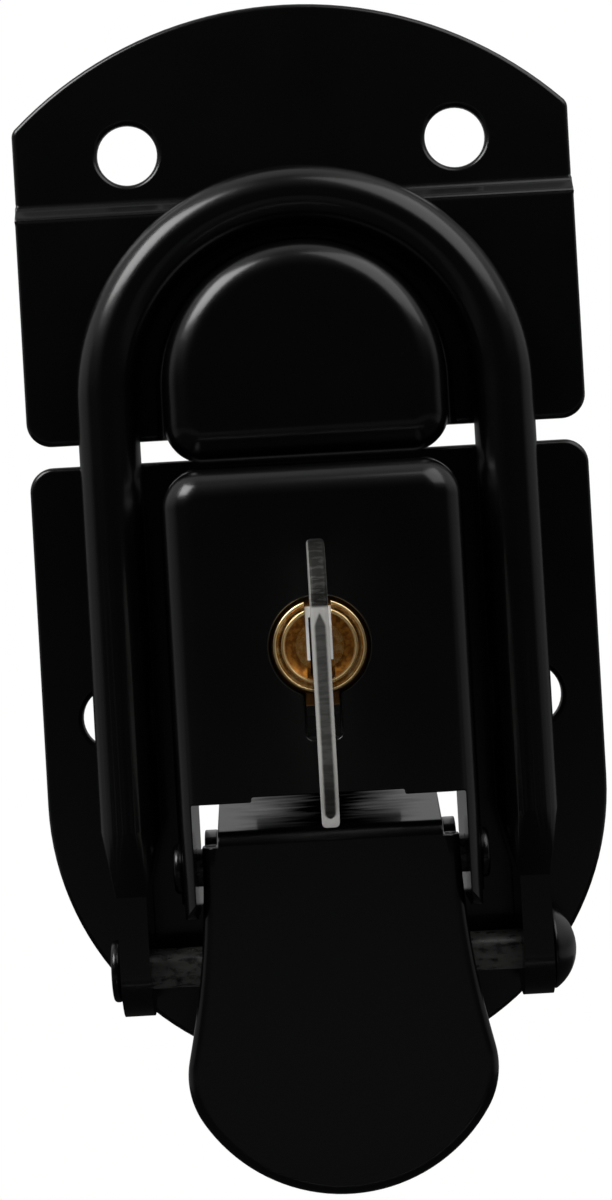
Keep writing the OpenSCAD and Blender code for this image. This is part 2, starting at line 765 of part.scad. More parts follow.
// Coil spring, its turns worked out along a helix
module coil(r, wire, height, turns) {
    steps = 10 * turns;
    sides = 6;
    points = [for (s = [0 : steps], k = [0 : sides - 1])
        let (turn = 360 * s / 10, around = 360 * k / sides, reach = r + wire * cos(around))
        [reach * cos(turn), reach * sin(turn), wire + (height - 2 * wire) * s / steps + wire * sin(around)]];
    walls = [for (s = [0 : steps - 1], k = [0 : sides - 1])
        let (next = (k + 1) % sides)
        [s * sides + k, (s + 1) * sides + k, (s + 1) * sides + next, s * sides + next]];
    start = [for (k = [0 : sides - 1]) k];
    finish = [for (k = [sides - 1 : -1 : 0]) steps * sides + k];
    polyhedron(points, concat([start, finish], walls));
}

module wafer_spring(i) {
    height = spring_len - 2 * seat_fit;
    color(steel) upright() translate([spring_x, lock_up + wing_z - seat_fit, wafer_out(i) + wafer_t / 2])
        rotate([90, 0, 0]) coil(spring_r - spring_wire, spring_wire, height, 4);
}

// Cam: disc on the flats of the tail, with a crank pin that works the bolt
module lock_cam() {
    color(steel) upright() translate([0, lock_up, 0]) difference() {
        union() {
            translate([0, 0, cam_back]) cylinder(d = 2 * tail_d, h = cam_t);
            rotate(45) {
                translate([0, -crank_d, cam_back]) cube([crank_r, 2 * crank_d, cam_t]);
                translate([crank_r, 0, cam_back]) cylinder(r = crank_d, h = cam_t);
                translate([crank_r, 0, cam_back])
                    cylinder(d = crank_d, h = bolt_front - cam_back - slide_fit);
            }
        }
        translate([0, 0, cam_back - cut]) linear_extrude(cam_t + 2 * cut) tail_section(seat_fit);
    }
}

// Clip: open ring that snaps into the groove of the tail
module cam_clip() {
    color(steel) upright() translate([0, lock_up, clip_back]) linear_extrude(clip_t) difference() {
        circle(d = groove_d + 2 * clip_w);
        circle(d = groove_d + 2 * seat_fit);
        translate([0, -groove_d / 3]) square([tail_d, 2 * groove_d / 3]);
    }
}

// Bolt: plate that the crank pin slides down behind the lever's lip
module lock_bolt() {
    slot_h = crank_d + 2 * slide_fit;
    window_half = tail_d / 2 + slide_fit;
    crown = lock_up + bolt_travel + window_half + sheet_t;
    color(steel) upright() translate([0, 0, bolt_back]) linear_extrude(bolt_t) difference() {
        translate([-bolt_w / 2, -bolt_drop]) square([bolt_w, crown + bolt_drop]);
        translate([0, lock_up]) {
            circle(window_half);
            translate([-window_half, 0]) square([2 * window_half, bolt_travel]);
            translate([0, bolt_travel]) circle(window_half);
            translate([0, crank_rise - slot_h / 2]) square([crank_r, slot_h]);
            translate([crank_r, crank_rise]) circle(d = slot_h);
        }
    }
}

// Key: bow, neck and a bitted blade, seated in the plug
module key() {
    blade_end = shell_back + sheet_t + key_fit;
    shoulder = head_front + shoulder_gap;
    bow_start = shoulder + neck_len;
    neck_h = blade_h + neck_step;
    color(steel) upright() translate([0, lock_up, 0]) across(key_t) difference() {
        union() {
            translate([-blade_h / 2, blade_end]) square([blade_h, shoulder - blade_end + cut]);
            translate([-neck_h / 2, shoulder]) square([neck_h, neck_len + bow_r]);
            translate([-bow_drop, bow_start]) {
                translate([-bow_h / 2, bow_r]) square([bow_h, bow_len - 2 * bow_r]);
                translate([bow_r - bow_h / 2, 0]) square([bow_h - 2 * bow_r, bow_len]);
                for (up = [-1, 1], end = [bow_r, bow_len - bow_r])
                    translate([up * (bow_h / 2 - bow_r), end]) circle(bow_r);
            }
        }
        translate([-bow_drop, bow_start + bow_len - bow_hole_d]) circle(d = bow_hole_d);
        for (i = [1 : wafer_count]) key_notch(wafer_out(i) + wafer_t / 2, notch_least + notch_step * (i % 3));
        translate([-blade_h / 2, blade_end]) rotate(45) square(sqrt(2) * tip_chamfer, center = true);
    }
}

// Notch in the lower edge of the blade
module key_notch(place, deep) {
    flat = wafer_t / 2;
    low = -blade_h / 2;
    polygon([[low - cut, place - flat - deep - cut], [low + deep, place - flat], [low + deep, place + flat],
        [low - cut, place + flat + deep + cut]]);
}

keeper_plate();
lock_body();
lever();
lever_pin();
bail();
bail_pin();
lock_shell();
lock_strap();
lock_plug();
key_guide();
for (i = [1 : wafer_count]) {
    wafer(i);
    wafer_spring(i);
}
lock_cam();
cam_clip();
lock_bolt();
key();
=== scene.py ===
"""Looks of a key-locking chest latch: finishes, eased edges, studio and camera."""

from __future__ import annotations

import json
import logging
import math
from dataclasses import dataclass, field
from enum import Enum
from typing import Any, Dict, List, Sequence, Tuple, Union

import bpy
from mathutils import Matrix, Vector

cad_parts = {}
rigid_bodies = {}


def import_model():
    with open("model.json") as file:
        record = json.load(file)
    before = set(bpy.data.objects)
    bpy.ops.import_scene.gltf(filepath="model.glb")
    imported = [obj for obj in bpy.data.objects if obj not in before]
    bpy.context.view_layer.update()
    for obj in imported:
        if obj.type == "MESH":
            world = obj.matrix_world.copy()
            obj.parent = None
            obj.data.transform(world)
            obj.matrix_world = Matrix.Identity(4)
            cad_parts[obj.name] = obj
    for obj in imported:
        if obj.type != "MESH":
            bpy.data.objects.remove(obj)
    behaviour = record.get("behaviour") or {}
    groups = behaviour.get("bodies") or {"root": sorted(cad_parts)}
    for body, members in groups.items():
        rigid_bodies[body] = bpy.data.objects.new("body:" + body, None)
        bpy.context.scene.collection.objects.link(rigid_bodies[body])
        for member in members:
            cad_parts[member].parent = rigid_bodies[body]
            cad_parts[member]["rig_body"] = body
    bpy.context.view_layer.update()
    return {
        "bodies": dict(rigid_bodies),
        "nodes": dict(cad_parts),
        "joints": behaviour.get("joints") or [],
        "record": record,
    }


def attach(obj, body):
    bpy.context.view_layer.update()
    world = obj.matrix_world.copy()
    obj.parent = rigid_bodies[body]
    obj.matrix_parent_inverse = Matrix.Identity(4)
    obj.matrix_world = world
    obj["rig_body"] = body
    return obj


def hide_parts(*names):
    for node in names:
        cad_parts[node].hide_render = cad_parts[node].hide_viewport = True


LOG = logging.getLogger("chest_latch")
MM = 0.001
WHITE = (1.0, 1.0, 1.0, 1.0)
Colour = Tuple[float, float, float]
Value = Union["Wire", float]


class Wire:
    """An output socket that takes part in Python expressions; each operator adds one Math node."""

    def __init__(self, graph: "Graph", socket: bpy.types.NodeSocket) -> None:
        """Keeps the socket and the graph that it belongs to."""
        self.graph = graph
        self.socket = socket

    def _math(self, operation: str, *terms: Value) -> "Wire":
        """Adds a Math node.

        Args:
            operation: The node's operation.
            terms: Its inputs, as wires or numbers.

        Returns:
            The node's output.
        """
        return self.graph.add("ShaderNodeMath", {"operation": operation}, dict(enumerate(terms)))

    def __add__(self, other: Value) -> "Wire":
        """Sum of two values."""
        return self._math("ADD", self, other)

    def __radd__(self, other: Value) -> "Wire":
        """Sum of two values."""
        return self._math("ADD", other, self)

    def __sub__(self, other: Value) -> "Wire":
        """Difference of two values."""
        return self._math("SUBTRACT", self, other)

    def __rsub__(self, other: Value) -> "Wire":
        """Difference of two values."""
        return self._math("SUBTRACT", other, self)

    def __mul__(self, other: Value) -> "Wire":
        """Product of two values."""
        return self._math("MULTIPLY", self, other)

    def __rmul__(self, other: Value) -> "Wire":
        """Product of two values."""
        return self._math("MULTIPLY", other, self)

    def __abs__(self) -> "Wire":
        """Size of a value without its sign."""
        return self._math("ABSOLUTE", self)

    def root(self) -> "Wire":
        """Square root of a value."""
        return self._math("SQRT", self)

    def sine(self) -> "Wire":
        """Sine of a value in radians."""
        return self._math("SINE", self)

    def at_most(self, other: Value) -> "Wire":
        """The smaller of two values."""
        return self._math("MINIMUM", self, other)

    def rise(self, low: float, high: float) -> "Wire":
        """Smooth step from 0 at low to 1 at high.

        Args:
            low: Where the step starts.
            high: Where it ends, which may be below low.

        Returns:
            A value from 0 to 1.
        """
        inputs = {"Value": self, "From Min": low, "From Max": high}
        return self.graph.add("ShaderNodeMapRange", {"interpolation_type": "SMOOTHSTEP"}, inputs)


class Graph:
    """A node tree that is filled from an empty start."""

    def __init__(self, tree: bpy.types.NodeTree) -> None:
        """Empties the tree."""
        self.tree = tree
        tree.nodes.clear()

    def add(self, kind: str, settings: Dict[str, Any], inputs: Dict[Any, Any], output: Any = 0) -> Wire:
        """Adds a node.

        Args:
            kind: The node's type.
            settings: Its properties.
            inputs: Values or wires by the socket's name or number.
            output: Name or number of the output that is returned.

        Returns:
            That output.
        """
        node = self.tree.nodes.new(kind)
        for name, value in settings.items():
            setattr(node, name, value)
        for key, value in inputs.items():
            if isinstance(value, Wire):
                self.tree.links.new(value.socket, node.inputs[key])
            else:
                node.inputs[key].default_value = value
        return Wire(self, node.outputs[output] if len(node.outputs) else None)

    def place(self) -> Wire:
        """Object coordinates, which are the row's own frame."""
        return self.add("ShaderNodeTexCoord", {}, {}, "Object")

    def axes(self, vector: Wire) -> Tuple[Wire, Wire, Wire]:
        """The three parts of a vector."""
        node = self.add("ShaderNodeSeparateXYZ", {}, {"Vector": vector}).socket.node
        return tuple(Wire(self, socket) for socket in node.outputs)

    def stretched(self, vector: Wire, scale: Tuple[float, float, float]) -> Wire:
        """A vector with each axis scaled by its own number."""
        return self.add("ShaderNodeMapping", {}, {"Vector": vector, "Scale": scale})

    def noise(self, vector: Wire, size: float, detail: float = 2.0) -> Wire:
        """Cloudy noise from 0 to 1.

        Args:
            vector: Coordinates in metres.
            size: Size of its clouds in metres.
            detail: Number of finer layers.

        Returns:
            The noise's value.
        """
        inputs = {"Vector": vector, "Scale": 1.0 / size, "Detail": detail}
        return self.add("ShaderNodeTexNoise", {}, inputs)

    def blend(self, share: Value, first: Any, second: Any) -> Wire:
        """Mix of two colours.

        Args:
            share: How much of the second there is.
            first: Colour, or wire of one.
            second: Colour, or wire of one.

        Returns:
            The mixed colour.
        """
        def full(colour: Any) -> Any:
            """A colour with its alpha, or the wire as it is."""
            return colour if isinstance(colour, Wire) else (*colour, 1.0)

        inputs = {0: share, 6: full(first), 7: full(second)}
        return self.add("ShaderNodeMix", {"data_type": "RGBA"}, inputs, 2)

    def bump(self, height: Wire, metres: float) -> Wire:
        """Normal of a surface whose height runs from 0 to 1 over a distance in metres."""
        return self.add("ShaderNodeBump", {}, {"Strength": 1.0, "Distance": metres, "Height": height})

    def specks(self, vector: Wire, spacing: float, radius: float, share: float) -> Wire:
        """Scattered small dots.

        Args:
            vector: Coordinates in metres.
            spacing: Size of the cells, each of which may hold one dot.
            radius: Radius of a dot in metres.
            share: Share of the cells that hold one.

        Returns:
            1 in a dot and 0 elsewhere.
        """
        inputs = {"Vector": vector, "Scale": 1.0 / spacing}
        reach = self.add("ShaderNodeTexVoronoi", {}, inputs, "Distance")
        tint = Wire(self, reach.socket.node.outputs["Color"])
        chance = self.axes(tint)[0].rise(1.0 - share, 1.001 - share)
        return reach.rise(radius / spacing, 0.4 * radius / spacing) * chance

    def surface(self, inputs: Dict[str, Any]) -> None:
        """Ends a material in one Principled shader with these inputs."""
        shader = self.add("ShaderNodeBsdfPrincipled", {}, inputs)
        self.add("ShaderNodeOutputMaterial", {}, {"Surface": shader})


@dataclass(frozen=True)
class Finish:
    """A surface finish, made into one material when it is first used."""

    name: str
    slot: str

    def material(self) -> bpy.types.Material:
        """The finish's material."""
        found = bpy.data.materials.get(self.name)
        if found:
            return found
        made = bpy.data.materials.new(self.name)
        made.use_nodes = True
        self.shade(Graph(made.node_tree))
        return made

    def shade(self, graph: Graph) -> None:
        """Fills the material's node tree."""
        raise NotImplementedError


@dataclass(frozen=True)
class BlackPaint(Finish):
    """Stoved semi-gloss paint with a fine orange peel and a few specks of dust in it."""

    tone: Colour = (0.0001, 0.0001, 0.00012)
    dust: Colour = (0.03, 0.03, 0.03)
    roughness: float = 0.25
    uneven: float = 0.06
    peel_size: float = 0.8 * MM
    peel_height: float = 0.004 * MM
    dust_gap: float = 2.2 * MM
    dust_radius: float = 0.05 * MM
    dust_share: float = 0.12
    gloss: float = 0.2
    gloss_roughness: float = 0.1

    def coat(self, graph: Graph) -> Dict[str, Any]:
        """Inputs of the painted surface.

        Args:
            graph: The material's node tree.

        Returns:
            Values and wires for the shader, by socket.
        """
        place = graph.place()
        peel = graph.noise(place, self.peel_size)
        grain = graph.noise(place, 0.15 * self.peel_size)
        cloud = graph.noise(place, 10 * self.peel_size, 3.0)
        dust = graph.specks(place, self.dust_gap, self.dust_radius, self.dust_share)
        return {
            "Base Color": graph.blend(dust, self.tone, self.dust),
            "Roughness": self.roughness - 0.5 * self.uneven + self.uneven * cloud + 0.2 * dust,
            "Normal": graph.bump(peel + 0.12 * grain + 0.3 * dust, self.peel_height),
            "Coat Weight": self.gloss,
            "Coat Roughness": self.gloss_roughness,
        }

    def shade(self, graph: Graph) -> None:
        """Fills the material's node tree."""
        graph.surface(self.coat(graph))


@dataclass(frozen=True)
class ShadedLipPaint(BlackPaint):
    """The same paint on the lever, whose lip is rubbed shiny, with painted shade: a dark matt film in
    streaks over the lip's middle.
    """

    shade_film_tone: Colour = (0.002, 0.002, 0.002)
    shine: float = 0.8
    lip_back: float = -11.6 * MM
    lip_low: float = -10.1 * MM
    lip_fade: float = 0.4 * MM
    low_fade: float = 0.5 * MM
    film_half: float = 4.6 * MM
    film_fade: float = 3.6 * MM
    streak_size: float = 0.5 * MM

    def shade(self, graph: Graph) -> None:
        """Fills the material's node tree."""
        place = graph.place()
        across, depth, height = graph.axes(place)
        streak = graph.noise(graph.stretched(place, (0.12, 1.0, 1.0)), self.streak_size, 4.0)
        reach = abs(across) + self.film_fade * (1.0 - 2.0 * streak)
        film = reach.rise(self.film_half + self.film_fade, self.film_half - self.film_fade)
        lip = depth.rise(self.lip_back, self.lip_back + self.lip_fade)
        lip = lip * height.rise(self.lip_low - self.low_fade, self.lip_low)
        inputs = self.coat(graph)
        inputs["Coat Weight"] = inputs["Coat Weight"] + self.shine * lip
        paint = graph.add("ShaderNodeBsdfPrincipled", {}, inputs)
        # Painted shade: a dark matt film over the lip's middle, fading out in streaks at its sides.
        matt = graph.add("ShaderNodeBsdfDiffuse", {}, {"Color": (*self.shade_film_tone, 1.0)})
        mixed = graph.add("ShaderNodeMixShader", {}, {0: film * lip, 1: paint, 2: matt})
        graph.add("ShaderNodeOutputMaterial", {}, {"Surface": mixed})


@dataclass(frozen=True)
class RubbedPaint(BlackPaint):
    """The same paint on a pin, rubbed down to the steel where it turns."""

    steel: Colour = (0.075, 0.073, 0.07)
    rub_from: float = 9.6 * MM
    rub_to: float = 10.9 * MM
    rub_fade: float = 0.3 * MM
    patch_size: float = 0.9 * MM
    bare: float = 0.25
    ragged: float = 0.5
    steel_metallic: float = 0.6
    steel_roughness: float = 0.08

    def shade(self, graph: Graph) -> None:
        """Fills the material's node tree."""
        inputs = self.coat(graph)
        place = graph.place()
        across = abs(graph.axes(place)[0])
        band = across.rise(self.rub_from, self.rub_from + self.rub_fade)
        band = band * across.rise(self.rub_to, self.rub_to - self.rub_fade)
        patch = graph.noise(graph.stretched(place, (1.0, 2.0, 2.0)), self.patch_size, 4.0)
        worn = band * patch.rise(self.bare, self.bare + self.ragged)
        inputs["Base Color"] = graph.blend(worn, inputs["Base Color"], self.steel)
        inputs["Metallic"] = self.steel_metallic * worn
        inputs["Roughness"] = inputs["Roughness"] + self.steel_roughness * worn
        inputs["Coat Weight"] = self.gloss - self.gloss * worn
        graph.surface(inputs)


@dataclass(frozen=True)
class TurnedBrass(Finish):
    """Brass off the lathe: fine rings round the lock's axis, and tarnish in its grooves."""

    tone: Colour = (1.0, 0.74, 0.36)
    amber: Colour = (0.50, 0.21, 0.035)
    umber: Colour = (0.16, 0.055, 0.012)
    axis_height: float = 5.3 * MM
    dish_edge: float = 1.9 * MM
    cone_edge: float = 2.74 * MM
    groove: Tuple[float, float] = (3.0 * MM, 3.38 * MM)
    ring_pitch: float = 0.075 * MM
    ring_height: float = 0.0016 * MM
    stain_size: float = 0.45 * MM
    soft: float = 0.04 * MM
    roughness: float = 0.24

    def metal(self, graph: Graph) -> Dict[str, Any]:
        """Inputs of the brass surface.

        Args:
            graph: The material's node tree.

        Returns:
            Values and wires for the shader, by socket.
        """
        place = graph.place()
        across, _, height = graph.axes(place)
        lift = height - self.axis_height
        reach = (across * across + lift * lift).root()
        stain = graph.noise(place, self.stain_size, 4.0)
        mottle = stain.rise(0.38, 0.62)
        rings = (reach * (2 * math.pi / self.ring_pitch) + 0.8 * stain).sine()
        groove = reach.rise(self.groove[0] - self.soft, self.groove[0] + self.soft)
        groove = groove * reach.rise(self.groove[1] + self.soft, self.groove[1] - self.soft)
        bowl = reach.rise(self.cone_edge, self.cone_edge - 2 * self.soft)
        cone = bowl * reach.rise(self.dish_edge - self.soft, self.dish_edge + self.soft)
        dull = groove * (0.5 + 0.5 * mottle) + (bowl - cone) * (0.7 + 0.3 * mottle) + cone
        aged = graph.blend(dull, self.tone, self.amber)
        return {
            "Base Color": graph.blend(cone * (0.3 + 0.6 * mottle), aged, self.umber),
            "Metallic": 1.0,
            "Roughness": self.roughness + 0.1 * stain - 0.06 * dull,
            "Normal": graph.bump(0.5 + 0.5 * rings + 0.5 * stain, self.ring_height),
        }

    def shade(self, graph: Graph) -> None:
        """Fills the material's node tree."""
        graph.surface(self.metal(graph))


@dataclass(frozen=True)
class ShellBrass(TurnedBrass):
    """The same brass on the shell, with painted shade: black in the slot below its lug."""

    slot_shade_tone: Colour = (0.004, 0.0036, 0.003)
    lug_low: float = 0.75 * MM
    slot_shade_fade: float = 0.1 * MM

    def shade(self, graph: Graph) -> None:
        """Fills the material's node tree."""
        inputs = self.metal(graph)
        height = graph.axes(graph.place())[2]
        # Painted shade: the shell turns black below the lug, where the slot lies in shade.
        black = height.rise(self.lug_low, self.lug_low - self.slot_shade_fade)
        inputs["Base Color"] = graph.blend(black, inputs["Base Color"], self.slot_shade_tone)
        inputs["Metallic"] = 1.0 - black
        graph.surface(inputs)


@dataclass(frozen=True)
class WhiteNylon(Finish):
    """Moulded white nylon with a fine matt grain."""

    tone: Colour = (0.80, 0.80, 0.78)
    shade_tone: Colour = (0.70, 0.70, 0.68)
    roughness: float = 0.45
    cloud_size: float = 0.4 * MM
    grain_size: float = 0.04 * MM
    grain_height: float = 0.002 * MM

    def shade(self, graph: Graph) -> None:
        """Fills the material's node tree."""
        place = graph.place()
        cloud = graph.noise(place, self.cloud_size, 3.0)
        grain = graph.noise(place, self.grain_size)
        graph.surface({
            "Base Color": graph.blend(cloud, self.tone, self.shade_tone),
            "Roughness": self.roughness + 0.15 * cloud,
            "Normal": graph.bump(grain, self.grain_height),
        })


@dataclass(frozen=True)
class PlatedSteel(Finish):
    """Zinc-plated steel with a faint rolled grain and a cloudy bloom."""

    tone: Colour = (0.58, 0.59, 0.60)
    bloom: Colour = (0.40, 0.41, 0.43)
    roughness: float = 0.32
    cloud_size: float = 2.5 * MM
    grain_size: float = 0.05 * MM
    grain_height: float = 0.002 * MM

    def shade(self, graph: Graph) -> None:
        """Fills the material's node tree."""
        place = graph.place()
        cloud = graph.noise(place, self.cloud_size, 4.0)
        grain = graph.noise(graph.stretched(place, (1.0, 1.0, 0.06)), self.grain_size)
        graph.surface({
            "Base Color": graph.blend(cloud.rise(0.35, 0.75), self.tone, self.bloom),
            "Metallic": 1.0,
            "Roughness": self.roughness + 0.15 * cloud,
            "Normal": graph.bump(grain + 0.5 * cloud, self.grain_height),
        })


@dataclass(frozen=True)
class KeyNickel(Finish):
    """Nickel-plated key: worn faces, and a sheared rim, dark between its bevels and torn at the top,
    where one side carries a painted highlight.
    """

    tone: Colour = (0.86, 0.85, 0.82)
    bevel: Colour = (0.58, 0.57, 0.54)
    shear: Colour = (0.2, 0.2, 0.19)
    tear: Colour = (0.03, 0.03, 0.028)
    roughness: float = 0.34
    rim_half: float = 0.625 * MM
    rim_fade: Tuple[float, float] = (0.002 * MM, 0.015 * MM)
    strip_half: float = 0.37 * MM
    strip_top: float = 8.3 * MM
    strip_low: float = -6.25 * MM
    top_fade: float = 1.2 * MM
    low_fade: float = 0.4 * MM
    lit_edge: float = -0.46 * MM
    soft: float = 0.1 * MM
    tear_fade: float = 0.4 * MM
    band_size: float = 0.3 * MM
    crumb_size: float = 0.16 * MM
    wear_size: float = 1.6 * MM
    mark_height: float = 0.02 * MM

    def shade(self, graph: Graph) -> None:
        """Fills the material's node tree."""
        place = graph.place()
        across, _, height = graph.axes(place)
        rim = abs(across).rise(self.rim_half - self.rim_fade[0], self.rim_half - self.rim_fade[1])
        ends = height.rise(self.strip_top, self.strip_top - self.top_fade)
        ends = ends * height.rise(self.strip_low, self.strip_low + self.low_fade).root()
        strip = (abs(across) - self.strip_half * ends).rise(self.soft, -self.soft) * ends.rise(0.0, 0.2)
        torn = rim * height.rise(self.strip_top + self.soft, self.strip_top + self.tear_fade)
        # Painted highlight: the torn top is made lighter on its side towards negative x.
        lit = torn * across.rise(self.lit_edge, self.lit_edge - self.soft)
        bands = graph.noise(graph.stretched(place, (0.2, 0.5, 1.0)), self.band_size, 3.0)
        crumbs = graph.noise(graph.stretched(place, (0.6, 0.6, 1.0)), self.crumb_size, 3.0)
        wear = graph.noise(place, self.wear_size, 4.0)
        dark = (strip + torn).at_most(1.0) - 0.6 * lit
        grey = graph.blend(torn, self.shear, self.tear)
        polish = rim * height.rise(self.strip_low + MM, self.strip_low)
        bright = graph.blend(polish, self.bevel, self.tone)
        share = (dark * (0.75 + 0.25 * bands.rise(0.6, 0.35)) + 0.2 * torn).at_most(1.0)
        marks = dark * bands + torn * (1.2 * crumbs + bands) + 0.2 * wear
        graph.surface({
            "Base Color": graph.blend(share - 0.3 * lit, bright, grey),
            "Metallic": 0.5 + 0.5 * dark,
            "Roughness": self.roughness + 0.1 * wear + 0.14 * dark,
            "Normal": graph.bump(marks, self.mark_height),
        })


@dataclass(frozen=True)
class PaleFloor(Finish):
    """Matt pale floor under the object, which runs out to plain white with distance."""

    tone: Colour = (0.82, 0.82, 0.82)
    gloss_tone: Colour = (0.03, 0.03, 0.03)
    fade_from: float = 0.15
    fade_to: float = 0.45

    def shade(self, graph: Graph) -> None:
        """Fills the material's node tree."""
        across, depth, _ = graph.axes(graph.place())
        reach = (across * across + depth * depth).root()
        path = graph.add("ShaderNodeLightPath", {}, {}).socket.node
        seen, mirrored = (Wire(graph, path.outputs[f"Is {kind} Ray"]) for kind in ("Camera", "Glossy"))
        tone = graph.blend(mirrored, self.tone, self.gloss_tone)
        matt = graph.add("ShaderNodeBsdfDiffuse", {}, {"Color": tone})
        white = graph.add("ShaderNodeEmission", {}, {"Color": WHITE, "Strength": 1.0})
        share = seen * reach.rise(self.fade_from, self.fade_to)
        mixed = graph.add("ShaderNodeMixShader", {}, {0: share, 1: matt, 2: white})
        graph.add("ShaderNodeOutputMaterial", {}, {"Surface": mixed})


class Paintwork(Enum):
    """The finishes of the latch, by the pieces that carry them."""

    BODY = BlackPaint("stoved_black", "black_paint")
    LEVER = ShadedLipPaint("shaded_lip_black", "black_paint")
    LEVER_PIN = RubbedPaint("rubbed_black", "black_paint")
    BAIL_PIN = RubbedPaint("scuffed_black", "black_paint", rub_to=15.6 * MM)
    LOCK = TurnedBrass("lathe_brass", "turned_brass")
    SHELL = ShellBrass("shell_brass", "turned_brass", tone=(0.22, 0.1, 0.03))
    GUIDE = WhiteNylon("white_nylon", "guide_nylon")
    WORKS = PlatedSteel("zinc_plate", "plated_steel")
    KEY = KeyNickel("worn_nickel", "key_nickel")


@dataclass(frozen=True)
class Easing:
    """How a piece's sharp edges are rounded off, and whether its hollow faces are split first."""

    width: float
    segments: int = 3
    sharp: float = 35.0
    split: bool = False


class Bench:
    """Blender's operators as a maker uses them, on one object at a time.

    Gaps up to WELD are closed, and places up to NEAR apart count as one. Faces turned by up to
    SAME_PLANE degrees are joined, and those by up to SMOOTH_BELOW degrees are shaded as one. A corner
    that a bevel throws out by more than STRAY_SHARE of its width is drawn back. A normal faces along
    an axis where its part along it is above FACING, and stands square to it where that is below SQUARE.
    """

    WELD: float = 0.002 * MM
    NEAR: float = 0.01 * MM
    SAME_PLANE: float = 0.3
    SMOOTH_BELOW: float = 32.0
    STRAY_SHARE: float = 0.6
    FACING: float = 0.98
    SQUARE: float = 0.02

    @staticmethod
    def take(piece: bpy.types.Object) -> None:
        """Selects this object alone and makes it the active one."""
        bpy.ops.object.select_all(action="DESELECT")
        piece.select_set(True)
        bpy.context.view_layer.objects.active = piece

    @classmethod
    def merge(cls, piece: bpy.types.Object) -> None:
        """Joins a copied node's loose triangles, and dissolves the lines between those in one plane."""
        cls.take(piece)
        bpy.ops.object.mode_set(mode="EDIT")
        bpy.ops.mesh.customdata_custom_splitnormals_clear()
        bpy.ops.mesh.select_all(action="SELECT")
        bpy.ops.mesh.remove_doubles(threshold=cls.WELD)
        bpy.ops.mesh.dissolve_limited(angle_limit=math.radians(cls.SAME_PLANE))
        bpy.ops.mesh.select_all(action="DESELECT")
        bpy.ops.object.mode_set(mode="OBJECT")

    @classmethod
    def ease(cls, piece: bpy.types.Object, easing: Easing) -> None:
        """Rounds a piece's sharp edges.

        Args:
            piece: The object.
            easing: Width, segments and least angle of the roundings.
        """
        cls.take(piece)
        if easing.split:
            bpy.ops.object.mode_set(mode="EDIT")
            bpy.ops.mesh.select_all(action="SELECT")
            bpy.ops.mesh.vert_connect_concave()
            bpy.ops.object.mode_set(mode="OBJECT")
        mould = piece.copy()
        mould.data = piece.data.copy()
        bpy.context.scene.collection.objects.link(mould)
        bevel = piece.modifiers.new("eased edges", "BEVEL")
        bevel.width = easing.width
        bevel.segments = easing.segments
        bevel.limit_method = "ANGLE"
        bevel.angle_limit = math.radians(easing.sharp)
        bevel.use_clamp_overlap = False
        bevel.miter_outer = "MITER_ARC"
        bpy.ops.object.modifier_apply(modifier=bevel.name)
        cls.tuck(piece, mould, cls.STRAY_SHARE * easing.width)
        bpy.data.objects.remove(mould)
        cls.smooth(piece)

    @staticmethod
    def tuck(piece: bpy.types.Object, mould: bpy.types.Object, limit: float) -> None:
        """Draws corners that the bevel has thrown out back onto the surface that they came from.

        Args:
            piece: The bevelled object, which is the active one.
            mould: A copy of it from before the bevel.
            limit: How far a corner may lie from that surface.
        """
        bpy.context.view_layer.update()
        strays = [
            vertex.index for vertex in piece.data.vertices
            if (mould.closest_point_on_mesh(vertex.co)[1] - vertex.co).length > limit
        ]
        if not strays:
            return
        group = piece.vertex_groups.new(name="strays")
        group.add(strays, 1.0, "REPLACE")
        wrap = piece.modifiers.new("tucked corners", "SHRINKWRAP")
        wrap.target = mould
        wrap.vertex_group = group.name
        bpy.ops.object.modifier_apply(modifier=wrap.name)
        piece.vertex_groups.clear()

    @classmethod
    def smooth(cls, piece: bpy.types.Object) -> None:
        """Shades a piece smooth, with its flat faces left flat."""
        cls.take(piece)
        bpy.ops.object.shade_smooth_by_angle(angle=math.radians(cls.SMOOTH_BELOW))
        weighted = piece.modifiers.new("flat faces", "WEIGHTED_NORMAL")
        weighted.keep_sharp = True
        bpy.ops.object.modifier_apply(modifier=weighted.name)

    @staticmethod
    def edge_normals(piece: bpy.types.Object) -> List[Tuple[int, List[Vector], List[Vector]]]:
        """Number, two ends and two face normals of each edge of a closed piece."""
        mesh = piece.data
        sides: Dict[Tuple[int, int], List[Vector]] = {}
        for face in mesh.polygons:
            for key in face.edge_keys:
                sides.setdefault(key, []).append(face.normal)
        found = []
        for edge in mesh.edges:
            ends = [mesh.vertices[number].co for number in edge.vertices]
            found.append((edge.index, ends, sides[tuple(sorted(edge.vertices))]))
        return found

    @classmethod
    def round_edges(
        cls, piece: bpy.types.Object, chosen: Sequence[int], width: float, segments: int
    ) -> None:
        """Rounds some of a piece's edges.

        Args:
            piece: The object.
            chosen: Numbers of the edges.
            width: Radius of the rounding.
            segments: Number of its strips.
        """
        cls.take(piece)
        bpy.ops.object.mode_set(mode="EDIT")
        bpy.ops.mesh.select_mode(type="EDGE")
        bpy.ops.mesh.select_all(action="DESELECT")
        bpy.ops.object.mode_set(mode="OBJECT")
        for number in chosen:
            piece.data.edges[number].select = True
        bpy.ops.object.mode_set(mode="EDIT")
        bpy.ops.mesh.bevel(offset=width, segments=segments, affect="EDGES", clamp_overlap=False)
        bpy.ops.mesh.select_all(action="DESELECT")
        bpy.ops.object.mode_set(mode="OBJECT")


